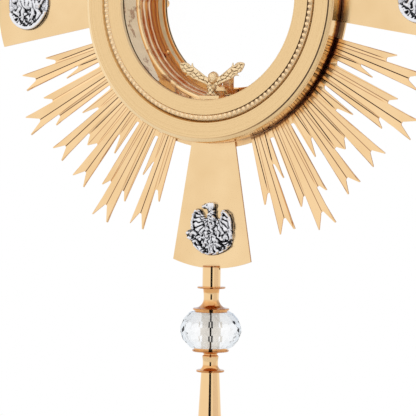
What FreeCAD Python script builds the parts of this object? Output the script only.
"""Sunburst monstrance: a round host case on a cruciform glory, a crystal knop and a round foot.

Frame: origin at the centre of the foot's underside, +Z up, the case's open front facing -Y,
+X to the right seen from the front.  Millimetres.
"""
import FreeCAD, Part

import math
import os

import Sketcher

os.makedirs("parts", exist_ok=True)
doc = FreeCAD.newDocument("monstrance")

# ---------------------------------------------------------------- driving dimensions
SIZES = {
    "ring_height": 520.0,          # centre of the host case above the table
    "running_gap": 0.35,           # clearance between pieces that move past each other
    "fit_gap": 0.05,               # radial clearance of a pin or rod in its hole
    # host case, depths measured along Y from the glory's mounting face
    "opening_radius": 75.3,
    "case_radius": 77.6,
    "case_front": -9.4,
    "case_step": 8.4,
    "case_back": 31.0,
    "case_outer_radius": 80.0,
    "lip_radius": 66.3,
    "lip_front": 24.0,
    "glass_thickness": 1.5,
    # bezel
    "bezel_front": -14.4,
    "bezel_plate_back": -10.9,
    "bezel_radius": 107.0,
    "bezel_wall": 1.6,
    "bezel_shoulder": 3.2,
    "groove_inner": 86.3,
    "groove_outer": 90.5,
    "groove_mouth": 92.3,
    "groove_floor": -11.8,
    "bead_circle_radius": 88.4,
    "bead_radius": 1.85,
    # glory: carrier ring, arms and rays
    "carrier_radius": 111.0,
    "mounting_face": 1.0,
    "carrier_thickness": 2.0,
    "glory_inner_radius": 107.4,
    "glory_thickness": 1.4,
    "arm_inner_half": 18.7,
    "arm_outer_half": 33.9,
    "arm_shoulder": 194.2,
    "arm_edge_radius": 100.0,
    "pleat_depth": 2.2,
    "ray_lift": 1.4,
    "ray_thickness": 0.9,
    "medallion_distance": 170.6,
    "medallion_radius": 19.9,
    "medallion_thickness": 3.6,
    # stem, all heights above the table
    "foot_bottom": 1.2,
    "stem_bottom": 64.0,
    "stem_flange_radius": 17.6,
    "stem_curve": 8000.0,
    "lower_collar_bottom": 242.9,
    "lower_cup_bottom": 258.1,
    "knop_bottom": 260.9,
    "knop_half": 13.35,
    "upper_cup_bottom": 287.6,
    "upper_collar_bottom": 290.3,
    "upper_disc_bottom": 305.1,
    "socket_bottom": 306.3,
    "socket_top": 322.0,
    "socket_radius": 6.75,
    "slot_bottom": 319.2,
    "bar_bottom": 309.6,
    "rod_radius": 3.0,
    "rod_bottom": 46.0,
    "rod_top": 308.9,
    "sleeve_radius": 5.0,
    "knop_bore": 5.2,
    # foot
    "foot_radius": 88.0,
    "foot_wall": 2.0,
    # rear door
    "door_front": 31.4,
    "door_back": 34.6,
    "door_radius": 76.5,
    "hinge_x": 82.0,
    "hinge_y": 33.4,
    "hinge_pin_radius": 1.2,
    "knuckle_radius": 2.5,
    "knuckle_length": 7.0,
    "latch_x": -82.5,
    # lunette
    "rail_half_width": 4.2,
    "rail_bottom": -70.2,
    "rail_top": -68.4,
    "cherub_y": -2.5,
    "clamp_front": 8.5,
}

sheet = doc.addObject("Spreadsheet::Sheet", "sizes")
for row, (alias, number) in enumerate(SIZES.items(), start=1):
    sheet.set("A%d" % row, alias)
    sheet.set("B%d" % row, str(number))
    sheet.setAlias("B%d" % row, alias)
doc.recompute()


def size(words):
    """The number that a sum of sheet sizes and plain numbers, such as "a + b - 2", comes to."""
    total = 0.0
    sign = 1.0
    for word in str(words).split():
        if word in "+-":
            sign = 1.0 if word == "+" else -1.0
        elif word in SIZES:
            total += sign * SIZES[word]
        else:
            total += sign * float(word)
    return total


def bound(words):
    """The same sum as an expression that reads the sheet."""
    return " ".join("sizes." + word if word in SIZES else word for word in str(words).split())


# ---------------------------------------------------------------- building blocks
PARTS = []


def new_body(label, depth="0", height="0"):
    """An empty body placed at a depth along Y and a height along Z."""
    body = doc.addObject("PartDesign::Body", label)
    body.Label = label
    body.Placement.Base = FreeCAD.Vector(0, size(depth), size(height))
    body.setExpression("Placement.Base.y", bound(depth))
    body.setExpression("Placement.Base.z", bound(height))
    PARTS.append(body)
    return body


def origin_feature(body, role):
    return next(item for item in body.Origin.OriginFeatures if item.Role == role)


def new_sketch(body, name, plane):
    sketch = body.newObject("Sketcher::SketchObject", body.Name + "_" + name)
    sketch.AttachmentSupport = [(origin_feature(body, plane), "")]
    sketch.MapMode = "FlatFace"
    return sketch


def arc_between(start, end, radius, side):
    """A circular arc from start to end that bulges to the left (side 1) or right (side -1)."""
    chord = end - start
    half = chord.Length / 2
    left = FreeCAD.Vector(-chord.y, chord.x, 0).normalize()
    centre = (start + end) / 2 - left * side * math.sqrt(max(radius ** 2 - half ** 2, 0))
    first, last = (end, start) if side > 0 else (start, end)
    angles = [math.atan2(p.y - centre.y, p.x - centre.x) for p in (first, last)]
    if angles[1] < angles[0]:
        angles[1] += 2 * math.pi
    circle = Part.Circle(centre, FreeCAD.Vector(0, 0, 1), radius)
    return Part.ArcOfCircle(circle, angles[0], angles[1])


def draw_outline(sketch, corners):
    """A closed outline.  A corner is (x, y), or (x, y, radius, side) where an arc starts."""
    places = [FreeCAD.Vector(size(corner[0]), size(corner[1]), 0) for corner in corners]
    ends = []
    edges = []
    for index, corner in enumerate(corners):
        start = places[index]
        end = places[(index + 1) % len(places)]
        if len(corner) == 2:
            edges.append(sketch.addGeometry(Part.LineSegment(start, end), False))
            ends.append((1, 2))
        else:
            arc = arc_between(start, end, size(corner[2]), corner[3])
            edges.append(sketch.addGeometry(arc, False))
            ends.append((2, 1) if corner[3] > 0 else (1, 2))
    for index, corner in enumerate(corners):
        before = index - 1
        first = ends[index][0]
        edge = edges[index]
        joint = (edges[before], ends[before][1], edge, first)
        sketch.addConstraint(Sketcher.Constraint("Coincident", *joint))
        for kind, words, axis in (("DistanceX", corner[0], -2), ("DistanceY", corner[1], -1)):
            if size(words) == 0.0:
                sketch.addConstraint(Sketcher.Constraint("PointOnObject", edge, first, axis))
                continue
            number = sketch.addConstraint(Sketcher.Constraint(kind, -1, 1, edge, first, size(words)))
            sketch.setExpression("Constraints[%d]" % number, bound(words))
        if len(corner) == 4:
            number = sketch.addConstraint(Sketcher.Constraint("Radius", edge, size(corner[2])))
            sketch.setExpression("Constraints[%d]" % number, bound(corner[2]))


def draw_circle(sketch, centre_x, centre_y, radius):
    """A circle whose centre and radius follow the sheet."""
    place = FreeCAD.Vector(size(centre_x), size(centre_y), 0)
    circle = sketch.addGeometry(Part.Circle(place, FreeCAD.Vector(0, 0, 1), size(radius)), False)
    for kind, words, axis in (("DistanceX", centre_x, -2), ("DistanceY", centre_y, -1)):
        if size(words) == 0.0:
            sketch.addConstraint(Sketcher.Constraint("PointOnObject", circle, 3, axis))
            continue
        number = sketch.addConstraint(Sketcher.Constraint(kind, -1, 1, circle, 3, size(words)))
        sketch.setExpression("Constraints[%d]" % number, bound(words))
    number = sketch.addConstraint(Sketcher.Constraint("Radius", circle, size(radius)))
    sketch.setExpression("Constraints[%d]" % number, bound(radius))


def revolve(body, plane, corners):
    """Turn an outline about the sketch's vertical axis through the body's origin."""
    sketch = new_sketch(body, "profile", plane)
    draw_outline(sketch, corners)
    turning = body.newObject("PartDesign::Revolution", body.Name + "_turning")
    turning.Profile = sketch
    turning.ReferenceAxis = (sketch, ["V_Axis"])
    turning.Angle = 360
    body.Tip = turning


def turned_about_stem(label, height, corners):
    """A piece turned about the vertical stem axis: corners are (radius, height)."""
    body = new_body(label, height=height)
    revolve(body, "XZ_Plane", corners)
    return body


def turned_about_case(label, corners, depth="0"):
    """A piece turned about the host case's axis: corners are (radius, depth)."""
    body = new_body(label, depth=depth, height="ring_height")
    revolve(body, "XY_Plane", corners)
    return body


def padded(label, plane, corners, thickness, depth="0", height="0"):
    """An outline padded equally to both sides of its plane."""
    body = new_body(label, depth, height)
    sketch = new_sketch(body, "outline", plane)
    draw_outline(sketch, corners)
    pad = body.newObject("PartDesign::Pad", body.Name + "_pad")
    pad.Profile = sketch
    pad.Midplane = True
    pad.Length = size(thickness)
    pad.setExpression("Length", bound(thickness))
    body.Tip = pad
    return body


def pocket_through(body, name, plane, draw):
    """A pocket cut right through the body, both ways from its plane."""
    sketch = new_sketch(body, name, plane)
    draw(sketch)
    pocket = body.newObject("PartDesign::Pocket", body.Name + "_" + name + "_cut")
    pocket.Profile = sketch
    pocket.Midplane = True
    pocket.Type = "ThroughAll"
    body.Tip = pocket
    return pocket


def polar_pattern(body, feature, count, role="Y_Axis"):
    """Repeat a feature round one of the body's own axes."""
    pattern = body.newObject("PartDesign::PolarPattern", body.Name + "_pattern")
    pattern.Originals = [feature]
    pattern.Axis = (origin_feature(body, role), [""])
    pattern.Angle = 360
    pattern.Occurrences = count
    body.Tip = pattern


def free_shape(label, shape, height="0"):
    """A sub-part whose shape is made directly from the sheet's sizes."""
    part = doc.addObject("Part::Feature", label)
    part.Label = label
    part.Shape = shape
    part.Placement.Base = FreeCAD.Vector(0, 0, size(height))
    PARTS.append(part)
    return part


def around_case(radius, degrees, depth):
    """A point at a radius and an angle round the case, counted from +X towards +Z."""
    angle = math.radians(degrees)
    return FreeCAD.Vector(radius * math.cos(angle), depth, radius * math.sin(angle))


def headed_pin(place, direction, head_radius, head_length, shank_radius, shank_length):
    """A fastener with its head standing out against the direction and its shank along it."""
    back = FreeCAD.Vector(-direction.x, -direction.y, -direction.z)
    head = Part.makeCylinder(head_radius, head_length, place, back)
    top = place + back * head_length
    crown = Part.makeCone(head_radius, head_radius * 0.55, head_length * 0.45, top, back)
    shank = Part.makeCylinder(shank_radius, shank_length, place, direction)
    return head.fuse([crown, shank]).removeSplitter()


INTO_CASE = FreeCAD.Vector(0, 1, 0)
OUT_OF_CASE = FreeCAD.Vector(0, -1, 0)
UP = FreeCAD.Vector(0, 0, 1)


# ---------------------------------------------------------------- foot
def build_foot():
    """Round stepped foot with its underside closed by a plate and felt, drawn up by one rod."""
    turned_about_stem("foot", "foot_bottom", [
        ("foot_radius - foot_wall", "0"), ("foot_radius", "0"),
        ("foot_radius", "3.2", "2.6", -1), ("foot_radius - 2.4", "7.0"),
        ("foot_radius - 5.0", "7.0"), ("foot_radius - 5.0", "9.6"),
        ("foot_radius - 11.5", "9.6", "9", -1), ("foot_radius - 18.5", "14.6"),
        ("foot_radius - 20.5", "14.6"), ("foot_radius - 20.5", "17.0"),
        ("foot_radius - 23.5", "17.0", "62", 1), ("19.4", "55.2"),
        ("21.4", "55.2"), ("21.4", "57.6", "1.6", -1), ("20.0", "59.6"),
        ("19.0", "59.6"), ("stem_flange_radius", "stem_bottom - foot_bottom"),
        ("rod_radius + fit_gap", "stem_bottom - foot_bottom"),
        ("rod_radius + fit_gap", "52.4"), ("15.6", "52.4", "66", -1),
        ("foot_radius - 24.5", "12.4"), ("foot_radius - foot_wall - 5", "7.4"),
        ("foot_radius - foot_wall", "5.4")])
    turned_about_stem("foot_bead_ring", "foot_bottom + 9.6", [
        ("foot_radius - 9.6", "0"), ("foot_radius - 6.0", "0"), ("foot_radius - 6.0", "0.8"),
        ("foot_radius - 6.8", "1.7"), ("foot_radius - 8.8", "1.7"), ("foot_radius - 9.6", "0.8")])
    turned_about_stem("foot_plate", "foot_bottom", [
        ("24", "0"), ("foot_radius - foot_wall - 0.2", "0"),
        ("foot_radius - foot_wall - 0.2", "1.6"), ("24", "1.6")])
    turned_about_stem("foot_felt", "0", [
        ("24", "0"), ("foot_radius - 1.2", "0"),
        ("foot_radius - 1.2", "foot_bottom"), ("24", "foot_bottom")])
    turned_about_stem("tie_washer", "foot_bottom + 50.8", [
        ("rod_radius + 0.2", "0"), ("9", "0"), ("9", "1.6"), ("rod_radius + 0.2", "1.6")])
    nut = padded("tie_nut", "XY_Plane", [
        (str(round(5.8 * math.cos(math.radians(60 * side)), 4)),
         str(round(5.8 * math.sin(math.radians(60 * side)), 4))) for side in range(6)],
        "4.6", height="foot_bottom + 48.4")
    pocket_through(nut, "bore", "XY_Plane",
                   lambda sketch: draw_circle(sketch, "0", "0", "rod_radius + fit_gap"))
    turned_about_stem("tie_rod", "0", [
        ("0", "rod_bottom"), ("rod_radius - 0.5", "rod_bottom"), ("rod_radius", "rod_bottom + 0.5"),
        ("rod_radius", "rod_top - 0.5"), ("rod_radius - 0.5", "rod_top"), ("0", "rod_top")])


# ---------------------------------------------------------------- stem and knop
def build_stem():
    """Hollow tapering stem, collars, discs and the crystal knop, stacked on the tie rod."""
    top = "lower_collar_bottom - stem_bottom"
    turned_about_stem("lower_stem", "stem_bottom", [
        ("15.6", "0"), ("stem_flange_radius", "0"), ("stem_flange_radius", "2.0"),
        ("16.0", "3.4", "stem_curve", 1), ("6.8", top), ("rod_radius + 0.2", top),
        ("rod_radius + 0.2", top + " - 3"), ("5.4", top + " - 3", "stem_curve", -1), ("14.2", "3.4")])
    collar_top = "lower_cup_bottom - lower_collar_bottom"
    turned_about_stem("lower_collar", "lower_collar_bottom", [
        ("rod_radius + 0.2", "0"), ("10.2", "0"), ("10.45", "0.3"), ("10.45", "1.1"), ("10.1", "1.4"),
        ("8.4", "1.4", "4.6", 1), ("5.7", "4.6"), ("5.7", "6.4", "20", 1), ("6.15", "11.2"),
        ("6.15", "11.8"), ("5.1", "12.6"), ("5.1", "13.2", "2.4", 1), ("7.2", "14.8"),
        ("7.2", collar_top), ("rod_radius + 0.2", collar_top)])
    turned_about_stem("knop_lower_cup", "lower_cup_bottom", [
        ("rod_radius + 0.2", "0"), ("13.3", "0"), ("13.7", "0.4"), ("13.7", "1.1"), ("13.3", "1.4"),
        ("12.5", "1.4"), ("12.5", "2.8"), ("rod_radius + 0.2", "2.8")])
    turned_about_stem("crystal_knop", "knop_bottom", [
        ("knop_bore", "0"), ("12.0", "0"), ("17.8", "2.6"), ("21.2", "7.4"), ("22.5", "knop_half - 1.2"),
        ("22.5", "knop_half + 1.2"), ("21.2", "knop_half + knop_half - 7.4"),
        ("17.8", "knop_half + knop_half - 2.6"), ("12.0", "knop_half + knop_half"),
        ("knop_bore", "knop_half + knop_half")])
    turned_about_stem("knop_sleeve", "knop_bottom", [
        ("rod_radius + 0.2", "0"), ("sleeve_radius", "0"), ("sleeve_radius", "knop_half + knop_half"),
        ("rod_radius + 0.2", "knop_half + knop_half")])
    turned_about_stem("knop_upper_cup", "upper_cup_bottom", [
        ("rod_radius + 0.2", "0"), ("12.2", "0"), ("12.2", "1.3"), ("13.2", "1.3"), ("13.55", "1.6"),
        ("13.55", "2.4"), ("13.2", "2.7"), ("rod_radius + 0.2", "2.7")])
    turned_about_stem("upper_collar", "upper_collar_bottom", [
        ("rod_radius + 0.2", "0"), ("11.4", "0", "7.6", 1), ("5.7", "6.6"), ("5.7", "8.4", "36", 1),
        ("6.3", "14.8"), ("rod_radius + 0.2", "14.8")])
    turned_about_stem("upper_disc", "upper_disc_bottom", [
        ("rod_radius + 0.2", "0"), ("10.2", "0"), ("10.5", "0.3"), ("10.5", "0.9"), ("10.2", "1.2"),
        ("rod_radius + 0.2", "1.2")])
    rod_pocket_top = "bar_bottom - socket_bottom - 0.3"
    socket = turned_about_stem("stem_socket", "socket_bottom", [
        ("rod_radius + fit_gap", "0"), ("socket_radius", "0"),
        ("socket_radius", "socket_top - socket_bottom - 0.4"),
        ("socket_radius - 0.4", "socket_top - socket_bottom"), ("0", "socket_top - socket_bottom"),
        ("0", rod_pocket_top), ("rod_radius + fit_gap", rod_pocket_top)])
    front = "mounting_face - glory_thickness - 0.1"

    def draw_arm_slot(sketch):
        draw_outline(sketch, [
            (front, "slot_bottom - socket_bottom"), ("mounting_face + 0.05", "slot_bottom - socket_bottom"),
            ("mounting_face + 0.05", "20"), (front, "20")])

    pocket_through(socket, "arm_slot", "YZ_Plane", draw_arm_slot)
    slot_floor = "bar_bottom - socket_bottom - 0.1"
    bar_slot = new_sketch(socket, "bar_slot", "YZ_Plane")
    draw_outline(bar_slot, [
        ("mounting_face", slot_floor), ("mounting_face + 3.1", slot_floor),
        ("mounting_face + 3.1", "20"), ("mounting_face", "20")])
    cut = socket.newObject("PartDesign::Pocket", "stem_socket_bar_cut")
    cut.Profile = bar_slot
    cut.Midplane = True
    cut.Length = 8.2
    socket.Tip = cut


# ---------------------------------------------------------------- glory: arms, rays, carrier
# Half of one ray group, from its middle outwards: degrees from the middle and radius,
# tips and notches by turns, with the deep slots as the shortest notches.
RAY_OUTLINE = [
    (0.0, 157.0), (2.0, 152.2), (2.4, 182.6), (4.5, 175.0), (6.5, 183.1), (6.1, 133.5), (8.5, 145.2),
    (9.9, 114.6), (10.6, 170.4), (12.2, 165.9), (12.5, 194.1), (14.4, 183.4), (16.8, 192.3),
    (17.0, 166.2), (18.7, 170.6), (19.3, 114.8), (20.6, 145.2), (22.6, 134.2), (22.5, 183.1),
    (24.3, 174.4), (26.4, 183.0), (26.8, 152.6), (28.6, 158.5),
]
RAY_ROOT_SPREAD = 28.0             # half angle of a ray group where it meets the case


def ray_group(middle):
    """A pleated sheet fanned about a middle angle: ridges run to the tips, valleys to the notches."""
    half = [(angle, radius, index) for index, (angle, radius) in enumerate(RAY_OUTLINE)]
    fan = [(-angle, radius, -index) for angle, radius, index in reversed(half[1:])] + half
    root = SIZES["glory_inner_radius"]
    face = SIZES["mounting_face"]
    thickness = SIZES["ray_thickness"]
    sheets = []
    for back in (0.0, thickness):
        inner = []
        outer = []
        for angle, radius, index in fan:
            is_tip = index % 2 == 0
            ridge = SIZES["pleat_depth"] if is_tip else 0.0
            depth = face - thickness + back
            root_angle = middle + RAY_ROOT_SPREAD * index / (len(RAY_OUTLINE) - 1)
            inner.append(around_case(root, root_angle, depth - 0.45 * ridge))
            outer.append(around_case(radius, middle + angle, depth - SIZES["ray_lift"] - ridge))
        sheets.append((inner, outer))
    (front_in, front_out), (back_in, back_out) = sheets
    last = len(fan) - 1
    rings = []
    for i in range(last):
        for near, far in ((front_in, front_out), (back_in, back_out)):
            rings.append((near[i], near[i + 1], far[i]))
            rings.append((near[i + 1], far[i + 1], far[i]))
        rings.append((front_out[i], front_out[i + 1], back_out[i + 1], back_out[i]))
        rings.append((front_in[i], front_in[i + 1], back_in[i + 1], back_in[i]))
    for i in (0, last):
        rings.append((front_in[i], front_out[i], back_out[i], back_in[i]))
    faces = [Part.Face(Part.makePolygon(list(ring) + [ring[0]])) for ring in rings]
    solid = Part.Solid(Part.Shell(faces))
    if solid.Volume < 0:
        solid.reverse()
    return solid


def build_glory():
    """Four flat arms and four pleated ray groups riveted to one carrier ring round the case."""
    turned_about_case("carrier_ring", [
        ("case_radius", "mounting_face"), ("carrier_radius", "mounting_face"),
        ("carrier_radius", "mounting_face + carrier_thickness"),
        ("case_radius", "mounting_face + carrier_thickness")])
    for label, turn in (("arm_top", 0), ("arm_right", 90), ("arm_bottom", 180), ("arm_left", 270)):
        shoulder = str(SIZES["arm_shoulder"])
        foot_z = str(round(math.sqrt(SIZES["glory_inner_radius"] ** 2 - SIZES["arm_inner_half"] ** 2), 4))
        arm = padded(label, "XZ_Plane", [
            ("0 - arm_inner_half", foot_z, "glory_inner_radius", 1), ("arm_inner_half", foot_z),
            ("arm_outer_half", shoulder, "arm_edge_radius", -1), ("0 - arm_outer_half", shoulder)],
            "glory_thickness")
        arm.setExpression("Placement.Base.y", None)
        arm.setExpression("Placement.Base.z", None)
        middle = SIZES["mounting_face"] - SIZES["glory_thickness"] / 2
        arm.Placement = FreeCAD.Placement(FreeCAD.Vector(0, middle, SIZES["ring_height"]),
                                          FreeCAD.Rotation(FreeCAD.Vector(0, 1, 0), turn))
    for label, middle in (("rays_upper_right", 45), ("rays_upper_left", 135),
                          ("rays_lower_left", 224.4), ("rays_lower_right", 315.6)):
        free_shape(label, ray_group(middle), "ring_height")
    padded("support_bar", "XZ_Plane", [
        ("0 - 4", "bar_bottom - ring_height"), ("4", "bar_bottom - ring_height"),
        ("4", "0 - carrier_radius - 0.2"), ("0 - 4", "0 - carrier_radius - 0.2")],
        "3", depth="mounting_face + 1.5", height="ring_height")
    screws = []
    behind = SIZES["mounting_face"] + SIZES["carrier_thickness"]
    for degrees in range(30, 390, 60):
        screws.append(headed_pin(around_case(97.0, degrees, behind), OUT_OF_CASE, 3.0, 1.2, 1.5, 1.9))
    free_shape("carrier_screws", Part.makeCompound(screws), "ring_height")


def build_medallions():
    """One cast relief on each arm, held by two rivets through the plate."""
    front = SIZES["mounting_face"] - SIZES["glory_thickness"]
    rivets = []
    for label, degrees in (("medallion_angel", 90), ("medallion_lion", 0),
                           ("medallion_eagle", 270), ("medallion_ox", 180)):
        centre = around_case(SIZES["medallion_distance"], degrees, 0)
        body = new_body(label)
        sketch = new_sketch(body, "outline", "XZ_Plane")
        radius = SIZES["medallion_radius"]
        circle = sketch.addGeometry(Part.Circle(FreeCAD.Vector(0, 0, 0), UP, radius), False)
        sketch.addConstraint(Sketcher.Constraint("Coincident", circle, 3, -1, 1))
        number = sketch.addConstraint(Sketcher.Constraint("Radius", circle, radius))
        sketch.setExpression("Constraints[%d]" % number, "sizes.medallion_radius")
        pad = body.newObject("PartDesign::Pad", label + "_pad")
        pad.Profile = sketch
        pad.Midplane = True
        pad.Length = SIZES["medallion_thickness"]
        pad.setExpression("Length", "sizes.medallion_thickness")
        body.Tip = pad
        doc.recompute()
        crown = body.newObject("PartDesign::Chamfer", label + "_crown")
        front_edges = [index for index, edge in enumerate(pad.Shape.Edges, start=1)
                       if max(vertex.Y for vertex in edge.Vertexes) < 0]
        crown.Base = (pad, ["Edge%d" % index for index in front_edges])
        crown.Size = 1.6
        body.Tip = crown
        body.setExpression("Placement.Base.y", None)
        body.setExpression("Placement.Base.z", None)
        body.Placement.Base = FreeCAD.Vector(
            centre.x, front - SIZES["medallion_thickness"] / 2, SIZES["ring_height"] + centre.z)
        for aside in (-8.0, 8.0):
            along_x = aside if degrees in (90, 270) else 0.0
            place = FreeCAD.Vector(centre.x + along_x, SIZES["mounting_face"], centre.z + aside - along_x)
            rivets.append(Part.makeSphere(1.8, place, INTO_CASE, 0, 90, 360))
    free_shape("medallion_rivets", Part.makeCompound(rivets), "ring_height")


# ---------------------------------------------------------------- host case
LIP_SCREWS = 4
LIP_SCREW_CIRCLE = 68.8
LIP_SCREW_ANGLE = 34.0             # of the first screw, counted from +X


def build_case():
    """Bezel, bead ring, front glass, case tube and the stepped rear moulding with its lip."""
    turned_about_case("bezel_ring", [
        ("opening_radius", "bezel_front + 0.5"), ("opening_radius + 0.5", "bezel_front"),
        ("groove_inner", "bezel_front"), ("groove_inner", "groove_floor"),
        ("groove_outer", "groove_floor"), ("groove_mouth", "bezel_front"),
        ("bezel_radius - bezel_shoulder", "bezel_front"),
        ("bezel_radius - 0.8", "bezel_front + 0.9"), ("bezel_radius", "bezel_front + 2.4"),
        ("bezel_radius", "mounting_face"), ("bezel_radius - bezel_wall", "mounting_face"),
        ("bezel_radius - bezel_wall", "bezel_plate_back"), ("opening_radius", "bezel_plate_back")])
    inner = "bead_circle_radius - bead_radius"
    outer = "bead_circle_radius + bead_radius"
    turned_about_case("bead_ring", [
        (inner, "groove_floor"), (inner, "groove_floor - bead_radius - 0.8"),
        (inner + " + 0.9", "groove_floor - bead_radius - bead_radius + 0.1"),
        (outer + " - 0.9", "groove_floor - bead_radius - bead_radius + 0.1"),
        (outer, "groove_floor - bead_radius - 0.8"), (outer, "groove_floor")])
    turned_about_case("front_glass", [
        ("0", "0"), ("case_radius", "0"), ("case_radius", "glass_thickness"), ("0", "glass_thickness")],
        depth="bezel_plate_back")
    turned_about_case("chamber_tube", [
        ("opening_radius", "case_front"), ("case_radius", "case_front"),
        ("case_radius", "case_step"), ("opening_radius", "case_step")])
    moulding = turned_about_case("chamber_moulding", [
        ("case_radius", "mounting_face + carrier_thickness"),
        ("case_outer_radius", "mounting_face + carrier_thickness"),
        ("case_outer_radius", "case_back - 1"), ("case_outer_radius - 1", "case_back"),
        ("lip_radius + 0.5", "case_back"), ("lip_radius", "case_back - 0.5"), ("lip_radius", "lip_front"),
        ("71.0", "lip_front"), ("71.0", "20.2", "1.0", -1), ("71.6", "18.6"), ("72.4", "18.6"),
        ("72.4", "15.4", "1.2", -1), ("73.2", "13.4"), ("73.8", "13.4"), ("73.8", "11.4", "1.9", -1),
        ("opening_radius", "case_step"), ("case_radius", "case_step")])
    place = around_case(LIP_SCREW_CIRCLE, LIP_SCREW_ANGLE, 0)
    hole = pocket_through(moulding, "screw_hole", "XZ_Plane",
                          lambda sketch: draw_circle(sketch, str(place.x), str(place.z), "1.05"))
    polar_pattern(moulding, hole, LIP_SCREWS)
    screws = []
    for turn in range(LIP_SCREWS):
        seat = around_case(LIP_SCREW_CIRCLE, LIP_SCREW_ANGLE + 90 * turn, SIZES["lip_front"])
        screws.append(headed_pin(seat, INTO_CASE, 1.7, 1.1, 1.0, 5.0))
    free_shape("lip_screws", Part.makeCompound(screws), "ring_height")


# ---------------------------------------------------------------- lunette
def build_lunette():
    """Host holder on the case floor: cherub cradle in front, sliding clamp behind."""
    floor = -SIZES["opening_radius"]
    padded("cherub_base", "XZ_Plane", [
        ("0 - 8.5", str(floor + 0.6)), ("8.5", str(floor + 0.6)),
        ("8.5", "rail_bottom - 1.8"), ("0 - 8.5", "rail_bottom - 1.8")],
        "9.6", depth="cherub_y", height="ring_height")
    padded("lunette_rail", "XZ_Plane", [
        ("0 - rail_half_width", "rail_bottom"), ("rail_half_width", "rail_bottom"),
        ("rail_half_width", "rail_top"), ("0 - rail_half_width", "rail_top")],
        "24.0", depth="cherub_y + 13.5", height="ring_height")
    padded("rail_block", "XZ_Plane", [
        ("0 - 6", "rail_bottom - 1.8"), ("6", "rail_bottom - 1.8"),
        ("6", "rail_bottom"), ("0 - 6", "rail_bottom")],
        "3.3", depth="cherub_y + 3.15", height="ring_height")
    wing = [(-1.5, -69.2), (2.2, -67.6), (9.0, -63.4), (16.4, -60.2), (22.0, -57.2), (24.6, -58.0),
            (26.6, -55.6), (28.8, -50.6), (28.9, -47.4), (24.8, -46.6), (21.6, -49.2), (20.4, -46.8),
            (12.0, -54.6), (4.4, -60.6), (0.0, -66.2)]
    for label, side, layer in (("cherub_wing_right", 1, -0.55), ("cherub_wing_left", -1, 0.65)):
        corners = [(str(round(side * x, 2)), str(z)) for x, z in wing]
        padded(label, "XZ_Plane", corners, "1.1", depth="cherub_y + %s" % layer, height="ring_height")
    head = Part.makeSphere(4.7, FreeCAD.Vector(0, SIZES["cherub_y"] - 1.6, -58.2))
    neck = Part.makeCone(3.7, 2.4, 13.6, FreeCAD.Vector(0, SIZES["cherub_y"] - 2.4, -72.0), UP)
    front_half = Part.makeBox(20, 12, 40, FreeCAD.Vector(-10, SIZES["cherub_y"] - 13.2, -80))
    free_shape("cherub_head", head.fuse(neck).common(front_half).removeSplitter(), "ring_height")
    front = SIZES["clamp_front"]
    gap = SIZES["running_gap"]
    rail_top = SIZES["rail_top"]
    half_width = SIZES["rail_half_width"]
    shoe = Part.makeBox(12.6, 14.6, 3.2, FreeCAD.Vector(-6.3, front, rail_top - 1.4))
    channel = Part.makeBox(2 * (half_width + gap), 16, 3.0 + gap,
                           FreeCAD.Vector(-half_width - gap, front - 0.5, rail_top - 3.0))
    jaw = Part.makeBox(8.0, 6.0, 7.4, FreeCAD.Vector(-4.0, front, rail_top + 1.0))
    relief = Part.makeCylinder(2.1, 8.0, FreeCAD.Vector(0, front - 1, rail_top + 5.2), INTO_CASE)
    block = shoe.cut(channel).fuse(jaw).cut(relief).removeSplitter()
    free_shape("clamp_block", block, "ring_height")
    tab = Part.makeBox(7.0, 1.3, 10.4, FreeCAD.Vector(-3.5, front + 12.4, rail_top + 1.8))
    tab = tab.makeFillet(0.6, [edge for edge in tab.Edges if edge.CenterOfMass.z > rail_top + 12])
    free_shape("clamp_tab", tab, "ring_height")


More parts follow.
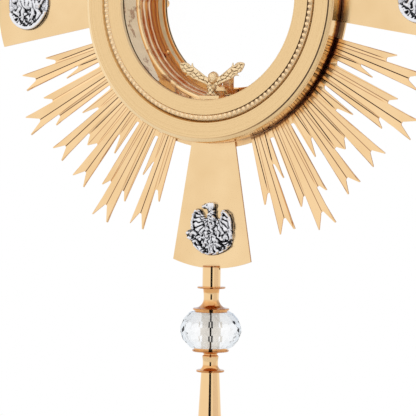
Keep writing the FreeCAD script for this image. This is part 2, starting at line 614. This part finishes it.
# ---------------------------------------------------------------- rear door
def build_door():
    """Glazed rear door on a pin hinge at the right, held shut by a turn-button at the left."""
    turned_about_case("door_frame", [
        ("65.0", "door_back"), ("65.0", "door_back - 0.7"), ("67.2", "door_back - 0.7"),
        ("67.2", "door_front"), ("door_radius", "door_front"), ("door_radius", "door_back - 0.8"),
        ("door_radius - 0.8", "door_back")])
    turned_about_case("door_glass", [
        ("0", "door_back - 0.7 - glass_thickness"), ("67.1", "door_back - 0.7 - glass_thickness"),
        ("67.1", "door_back - 0.7"), ("0", "door_back - 0.7")])
    turned_about_case("door_glass_ring", [
        ("65.0", "door_front + 0.1"), ("67.15", "door_front + 0.1"),
        ("67.15", "door_back - 0.7 - glass_thickness"), ("65.0", "door_back - 0.7 - glass_thickness")])
    hinge_x = SIZES["hinge_x"]
    hinge_y = SIZES["hinge_y"]
    bore = SIZES["hinge_pin_radius"] + SIZES["fit_gap"]
    length = SIZES["knuckle_length"]

    def knuckle(bottom):
        place = FreeCAD.Vector(hinge_x, hinge_y, bottom)
        return Part.makeCylinder(SIZES["knuckle_radius"], length, place, UP)

    def drill(shape):
        drill_place = FreeCAD.Vector(hinge_x, hinge_y, -20)
        return shape.cut(Part.makeCylinder(bore, 40, drill_place, UP)).removeSplitter()

    leaf = Part.makeBox(1.6, 14.0, 3 * length + 2 * SIZES["running_gap"],
                        FreeCAD.Vector(80.2, 17.0, -1.5 * length - SIZES["running_gap"]))
    inner = Part.makeBox(8.0, 10.0, length + 2 * SIZES["running_gap"],
                         FreeCAD.Vector(78.0, 29.9, -0.5 * length - SIZES["running_gap"]))
    fixed = leaf.fuse([knuckle(-1.5 * length - SIZES["running_gap"]),
                       knuckle(0.5 * length + SIZES["running_gap"])]).cut(inner)
    free_shape("hinge_bracket", drill(fixed), "ring_height")
    arm = Part.makeBox(hinge_x - 75.0, 1.4, length, FreeCAD.Vector(75.0, SIZES["door_back"], -length / 2))
    free_shape("door_knuckle", drill(knuckle(-length / 2).fuse(arm)), "ring_height")
    pin = Part.makeCylinder(SIZES["hinge_pin_radius"], 3 * length + 4.0,
                            FreeCAD.Vector(hinge_x, hinge_y, -1.5 * length - 2.0), UP)
    cap = Part.makeCylinder(2.0, 1.4, FreeCAD.Vector(hinge_x, hinge_y, 1.5 * length + 0.7), UP)
    free_shape("hinge_pin", pin.fuse(cap).removeSplitter(), "ring_height")
    turned = Part.makeCylinder(1.6, 5.0, FreeCAD.Vector(-71.0, SIZES["door_back"], 0), INTO_CASE)
    grip = Part.makeCylinder(3.6, 3.4, FreeCAD.Vector(-71.0, SIZES["door_back"] + 4.0, 0), INTO_CASE)
    grip = grip.makeFillet(0.7, [edge for edge in grip.Edges if edge.Length > 15])
    free_shape("door_knob", turned.fuse(grip).removeSplitter(), "ring_height")
    latch_x = SIZES["latch_x"]
    boss = Part.makeBox(5.0, 12.0, 8.0, FreeCAD.Vector(latch_x - 2.6, 21.0, 10.0))
    boss = boss.cut(Part.makeCylinder(SIZES["case_outer_radius"], 60, FreeCAD.Vector(0, 0, 0), INTO_CASE))
    screw_hole = Part.makeCylinder(1.25, 20, FreeCAD.Vector(latch_x, 20, 14.0), INTO_CASE)
    free_shape("latch_boss", boss.cut(screw_hole).removeSplitter(), "ring_height")
    back = SIZES["door_back"] + SIZES["running_gap"]
    button = Part.makeBox(5.0, 1.6, 11.0, FreeCAD.Vector(latch_x - 2.5, back, 11.5))
    button = button.makeFillet(2.2, [edge for edge in button.Edges
                                     if abs(edge.CenterOfMass.z - 17.0) > 5 and edge.Length < 2])
    collar = Part.makeCylinder(2.3, back - 33.3, FreeCAD.Vector(latch_x, 33.3, 14.0), INTO_CASE)
    hole = Part.makeCylinder(1.25, 20, FreeCAD.Vector(latch_x, 25, 14.0), INTO_CASE)
    free_shape("latch_button", button.fuse(collar).cut(hole).removeSplitter(), "ring_height")
    screw = headed_pin(FreeCAD.Vector(latch_x, back + 1.95, 14.0), OUT_OF_CASE, 2.1, 0.9, 1.2, 14.0)
    free_shape("latch_screw", screw, "ring_height")


build_foot()
build_stem()
build_glory()
build_medallions()
build_case()
build_lunette()
build_door()
doc.recompute()

# ---------------------------------------------------------------- check, then write
for item in doc.Objects:
    if "Invalid" in item.State or "Error" in item.State:
        raise RuntimeError("%s failed: %s" % (item.Label, item.State))
for part in PARTS:
    shape = part.Shape
    if shape.isNull() or not shape.isValid() or not shape.Solids:
        raise RuntimeError("%s has no valid solid" % part.Label)
    solids = len(shape.Solids)
    print("%-20s solids %2d volume %9.1f mm3" % (part.Label, solids, shape.Volume))
    shape.exportStep("parts/%s.step" % part.Label)
print(len(PARTS), "sub-parts")
